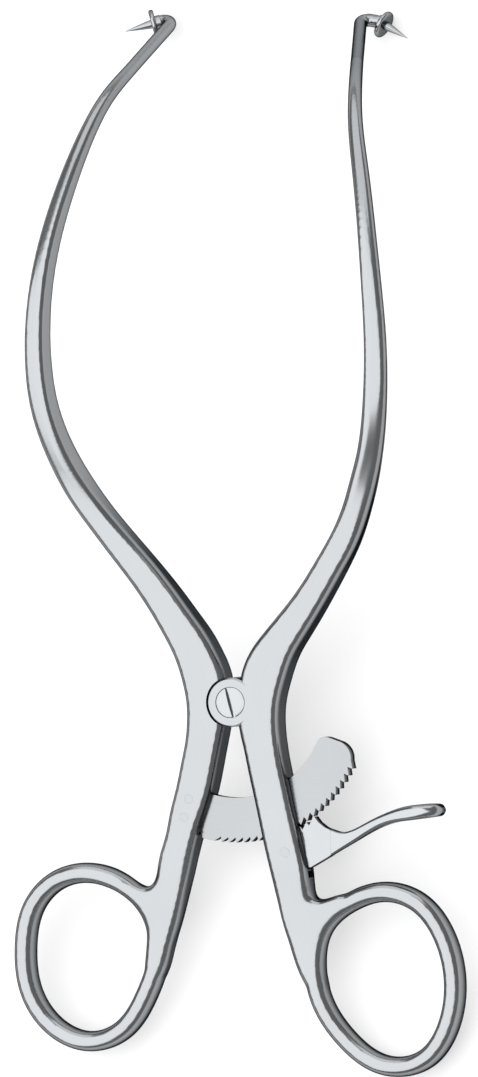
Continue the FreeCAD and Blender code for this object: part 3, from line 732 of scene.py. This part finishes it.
# Ground flat and hardened: the eye gets a face a shade darker and flatter than the forgings'.
hardened_strip = satin_steel("surface_ground_hardened_strip", ("#868889", "#8C8E90"), 0.22, (6.0, 0.35), 0.25, 9.0)
finished(toothed_arc, hardened_strip, 25.0)
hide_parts("ratchet_bar")
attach(toothed_arc, "left_half")


def drawn_wire(name, colour, roughness, file_mm):
    """Drawn stainless wire filed flush: short file marks across its ends, drawn 0.2 mm wide so that they show."""
    material, tree = bare_material(name)
    place = node(tree, "ShaderNodeTexCoord")
    marks = node(tree, "ShaderNodeMapping", {"Scale": (1000.0 / file_mm[0], 1000.0 / file_mm[1], 1000.0)},
                 Vector=place.outputs["Object"])
    grain = node(tree, "ShaderNodeTexNoise", {"Scale": 1.0, "Detail": 2.0}, Vector=marks.outputs["Vector"])
    spread = node(tree, "ShaderNodeMapRange", {"To Min": roughness - UNEVEN, "To Max": roughness + UNEVEN},
                  Value=grain.outputs["Fac"])
    shader = node(tree, "ShaderNodeBsdfPrincipled", {**STEEL, "Base Color": steel_colour(colour)},
                  Roughness=spread.outputs["Result"])
    node(tree, "ShaderNodeOutputMaterial", Surface=shader.outputs["BSDF"])
    return material


# Filed flush: the eye gets small round ends a shade duller than the forging round them.
pin_wire = drawn_wire("drawn_stainless_wire_filed_flush", "#8E9092", 0.22, (1.5, 0.2))
for name in ("ratchet_bar_rivets", "release_lever_pin", "leaf_spring_pin"):
    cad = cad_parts[name]
    cad.data.materials.clear()
    cad.data.materials.append(pin_wire)

# ---------------------------------------------------------------------------------------------------
# Release lever
# A small forged lever on a pin in the right handle: two teeth that drop between those of the arc, a waist,
# and a thumb pad that widens and rounds off. Polished brighter than the forgings by handling.

# The nose's gap to the arc in mm, its two ends in degrees, the arc of its boss, and its height and flank
NOSE_GAP = 0.12
NOSE_FROM = 24.3
NOSE_TO = 34.6
NOSE_HEEL = 0.85 * TOOTH
NOSE_FLANK = 0.35
NOSE_END = 0.8
BOSS_ARC = (95.0, 285.0)
LEVER_THICK = 2.3
PAWL_SOFT = 0.1
# Stations of the arm in mm: x, y, z of its middle, height, width across the pad, corner radius
LEVER_ARM = (
    (12.6, -26.7, MID, 4.8, 2.1, 0.3), (16.6, -25.65, MID, 5.2, 2.15, 0.4), (19.2, -25.35, MID, 3.1, 2.4, 0.5),
    (21.55, -24.6, MID, 2.15, 2.6, 0.6), (25.0, -22.95, MID, 1.85, 3.6, 0.7), (28.5, -21.6, MID, 1.95, 5.2, 0.8),
    (32.7, -20.75, MID, 2.6, 7.0, 1.0), (35.2, -20.5, MID, 2.6, 7.3, 1.1), (37.3, -20.4, MID, 2.35, 5.9, 1.1),
    (38.2, -20.4, MID, 1.85, 4.4, 0.88), (38.75, -20.4, MID, 0.9, 2.4, 0.44),
)


def lever_arm(name):
    """Rounded rectangles carried along the arm's middle line, closed at the pad's end by shrinking ones."""
    rows = np.array(LEVER_ARM)
    marks = run_of(rows[:, :3])
    line = flowing(marks, rows, np.linspace(0.0, marks[-1], 90))
    line[:, 5] = np.minimum(line[:, 5], 0.49 * np.minimum(line[:, 3], line[:, 4]))
    along = unit(np.gradient(line[:, :3], axis=0))
    across, through = rounded_rectangle(line[:, 3], line[:, 4], line[:, 5], CORNER_STEPS)
    return surface(name, carried(line[:, :3], along, np.zeros(len(line)), across, through), False)


nose_r, heel_r = BAR_TIP + NOSE_GAP, BAR_TIP + NOSE_GAP + NOSE_HEEL
nose_at = [(heel_r, NOSE_FROM)]
for k in (1, 2):
    nose_at += [(nose_r, NOSE_FROM + k * PITCH - NOSE_FLANK), (heel_r, NOSE_FROM + k * PITCH)]
nose_at += [(nose_r, NOSE_TO - NOSE_END), (nose_r, NOSE_TO)]
boss_turn = np.radians(np.linspace(*BOSS_ARC, 24))
round_boss = np.array(PIN_AT) + BOSS_R * np.stack((np.cos(boss_turn), np.sin(boss_turn)), -1)
pawl_outline = np.concatenate(([polar(*spot) for spot in nose_at],
                               ((15.2, -22.0), (16.4, -22.95), (17.4, -23.4), (17.4, -27.95), (16.8, -28.3),
                                (13.4, -30.1)), round_boss[::-1]))
half = LEVER_THICK / 2
pawl = plate("release_lever_forged", pawl_outline, MID - half, MID + half, PAWL_SOFT)
joined(pawl, lever_arm("lever_arm"))
cut(pawl, cylinder("pin_bore", PIN_R + TURN_CLEAR, -PAST, THICK + PAST, 0.0, *PIN_AT))
# Polished by handling: the eye gets a tighter, brighter streak along the arm and the pad.
handled_steel = satin_steel("hand_polished_stainless", ("#909294", "#96989A"), 0.17, (5.0, 0.35), 0.2, 7.0)
finished(pawl, handled_steel)
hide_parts("release_lever")
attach(pawl, "release")

# ---------------------------------------------------------------------------------------------------
# Leaf spring
# A thin tempered strip in the pit of the right handle, its tail held flat by a pin, its free end bent up
# under the release lever. It gives as the lever is pressed.

LEAF_THICK = 0.35
LEAF_WIDTH = 2.0
LEAF_CORNER = 0.08
LEAF_STEPS = 48
LEAF_LINE = ((8.925, -36.0), (8.925, -34.6), (8.93, -33.3), (9.3, -32.2), (10.6, -31.2), (12.7, -30.55))
rows = np.array([(x, y, MID) for x, y in LEAF_LINE])
marks = run_of(rows)
strip = flowing(marks, rows, np.linspace(0.0, marks[-1], LEAF_STEPS))
across, through = rounded_rectangle(*(np.full(LEAF_STEPS, size) for size in (LEAF_THICK, LEAF_WIDTH, LEAF_CORNER)), 2)
leaf = surface("leaf_spring_strip", carried(strip, unit(np.gradient(strip, axis=0)), np.zeros(LEAF_STEPS),
                                            across, through), False)
# Tempered: the eye gets a faint blue cast and a duller face.
finished(leaf, satin_steel("tempered_spring_strip", ("#85888C", "#8F9296"), 0.25, (12.0, 0.3), 0.15, 5.0))
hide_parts("leaf_spring")
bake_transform(leaf)

# ---------------------------------------------------------------------------------------------------
# Guard discs
# A small turned disc behind each prong keeps it from going in too deep. It is pressed on the tenon against
# the collar, and its rim is rounded and polished.

DISC_HOLE = 0.81
# Half of the section in mm, from the hole to the rim's crown: distance from the middle plane, and radius
DISC_HALF = ((0.45, DISC_HOLE), (0.45, 1.4), (0.45, 2.1), (0.42, 2.3), (0.33, 2.45), (0.18, 2.53))
DISC_CROWN = (0.0, 2.55)
disc_profile = [(-away, r) for away, r in DISC_HALF] + [DISC_CROWN] + list(DISC_HALF[::-1])
# Turned and polished: the eye gets rings round the rim and one small bright spot.
polished_disc = satin_steel("lathe_turned_polished_disc", ("#8C8E90", "#929496"), 0.2, (0.3, 6.0), 0.2, 5.0)


for tip, side, word in ((LEFT_TIP, -1.0, "left"), (RIGHT_TIP, 1.0, "right")):
    corner, stem, aim = tip * np.array((side, 1.0, 1.0))
    disc = turned_piece(word + "_guard_disc_turned", corner + stem, aim, disc_profile, 72, True)
    finished(disc, polished_disc, 50.0)
    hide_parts(word + "_guard_disc")
    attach(disc, word + "_half")

# ---------------------------------------------------------------------------------------------------
# Floor, light and camera
# The instrument lies on white paper under one large softbox, whose mirror image fills its flat faces, and a
# second one beyond its tips.

FLOOR_REACH = 6.0
PAPER_GLOW = 0.5
ROOM_LIGHT = 0.35

floor_z = min(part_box(name)[0].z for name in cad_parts)
floor_mesh = bpy.data.meshes.new("studio_floor")
floor_mesh.from_pydata([(x * FLOOR_REACH, y * FLOOR_REACH, floor_z) for x, y in ((-1, -1), (1, -1), (1, 1), (-1, 1))],
                       [], [(0, 1, 2, 3)])
floor = bpy.data.objects.new("studio_floor", floor_mesh)
bpy.context.scene.collection.objects.link(floor)
# White paper: half of what the eye sees is the paper's own lit face, which keeps the shadow, and half is white
paper, tree = bare_material("white_backdrop_paper")
matt = node(tree, "ShaderNodeBsdfDiffuse", {"Color": steel_colour("#F4F4F4")})
glow = node(tree, "ShaderNodeEmission", {"Color": steel_colour("#FFFFFF"), "Strength": 1.0})
ray = node(tree, "ShaderNodeLightPath")
seen = ray.outputs["Is Camera Ray"]
for kind in ("Is Glossy Ray", "Is Transmission Ray"):
    more = node(tree, "ShaderNodeMath", {"operation": "MAXIMUM"})
    tree.links.new(seen, more.inputs[0])
    tree.links.new(ray.outputs[kind], more.inputs[1])
    seen = more.outputs["Value"]
share = node(tree, "ShaderNodeMath", {"operation": "MULTIPLY"})
tree.links.new(seen, share.inputs[0])
share.inputs[1].default_value = PAPER_GLOW
mixed = node(tree, "ShaderNodeMixShader", None, Fac=share.outputs["Value"])
tree.links.new(matt.outputs["BSDF"], mixed.inputs[1])
tree.links.new(glow.outputs["Emission"], mixed.inputs[2])
node(tree, "ShaderNodeOutputMaterial", Surface=mixed.outputs["Shader"])
floor_mesh.materials.append(paper)

world = bpy.data.worlds.new("soft_room")
world.use_nodes = True
room = world.node_tree.nodes["Background"]
room.inputs["Color"].default_value = steel_colour("#FFFFFF")
room.inputs["Strength"].default_value = ROOM_LIGHT
bpy.context.scene.world = world


def softbox(name, place, aim, size, watts):
    """An area lamp in metres and watts at a place, turned to face its aim."""
    light = bpy.data.lights.new(name, "AREA")
    light.shape = "RECTANGLE"
    light.size, light.size_y = size
    light.energy = watts
    lamp = bpy.data.objects.new(name, light)
    lamp.location = place
    lamp.rotation_euler = (Vector(aim) - Vector(place)).to_track_quat("-Z", "Y").to_euler()
    bpy.context.scene.collection.objects.link(lamp)


# The photograph looks at the joint's face from 20 degrees to its right and a degree towards the tips, the
# picture turned by 2 degrees. 0.18 mm of the screw's plane shows as one of the 478 x 1077 pixels, and the
# screw's middle is at pixel 230, 702.5.
VIEW_SIDE = math.radians(20.19)
VIEW_RISE = math.radians(0.87)
VIEW_TURN = math.radians(-2.04)
MM_PER_PIXEL = 0.17966
FRAME_W = 478
FRAME_H = 1077
SCREW_AT = (230.0, 702.5)
CAMERA_FAR = 3.5
SENSOR_MM = 36.0
# The key softbox's direction from the joint, to the left of straight above its face
KEY_SIDE = math.radians(20.0)

tilt = Matrix.Rotation(REST_PITCH, 3, "X")
level = Vector((math.sin(VIEW_SIDE), 0.0, math.cos(VIEW_SIDE)))
along = Vector((0.0, 1.0, 0.0))
toward = tilt @ (level * math.cos(VIEW_RISE) + along * math.sin(VIEW_RISE))
flat_right = tilt @ Vector((math.cos(VIEW_SIDE), 0.0, -math.sin(VIEW_SIDE)))
flat_up = tilt @ (along * math.cos(VIEW_RISE) - level * math.sin(VIEW_RISE))
right = flat_right * math.cos(VIEW_TURN) + flat_up * math.sin(VIEW_TURN)
up = flat_up * math.cos(VIEW_TURN) - flat_right * math.sin(VIEW_TURN)
shift_right = (FRAME_W / 2.0 - SCREW_AT[0]) * MM_PER_PIXEL * MM
shift_up = (SCREW_AT[1] - FRAME_H / 2.0) * MM_PER_PIXEL * MM
middle = Vector(placed((0.0, 0.0, THICK))) + right * shift_right + up * shift_up
camera = bpy.data.objects.new("camera", bpy.data.cameras.new("camera"))
camera.data.sensor_width = SENSOR_MM
camera.data.lens = SENSOR_MM * CAMERA_FAR / (FRAME_H * MM_PER_PIXEL * MM)
camera.data.clip_start = 1.0
camera.data.clip_end = 60.0
camera.matrix_world = Matrix.Translation(middle + toward * CAMERA_FAR) @ Matrix(
    (right, up, toward)).transposed().to_4x4()
bpy.context.scene.collection.objects.link(camera)
bpy.context.scene.camera = camera
bpy.context.scene.view_settings.view_transform = "Standard"

# The large softbox stands where the flat faces mirror it to the camera. The lower one beyond the tips shows in
# the shanks where they slope down to the prongs.
softbox("key_softbox", tilt @ Vector((-math.sin(KEY_SIDE), 0.0, math.cos(KEY_SIDE))), (0, 0, 0), (1.75, 2.0), 25.0)
softbox("tip_softbox", (0.0, 1.25, 0.72), (0, 0.08, 0), (1.5, 1.15), 8.0)
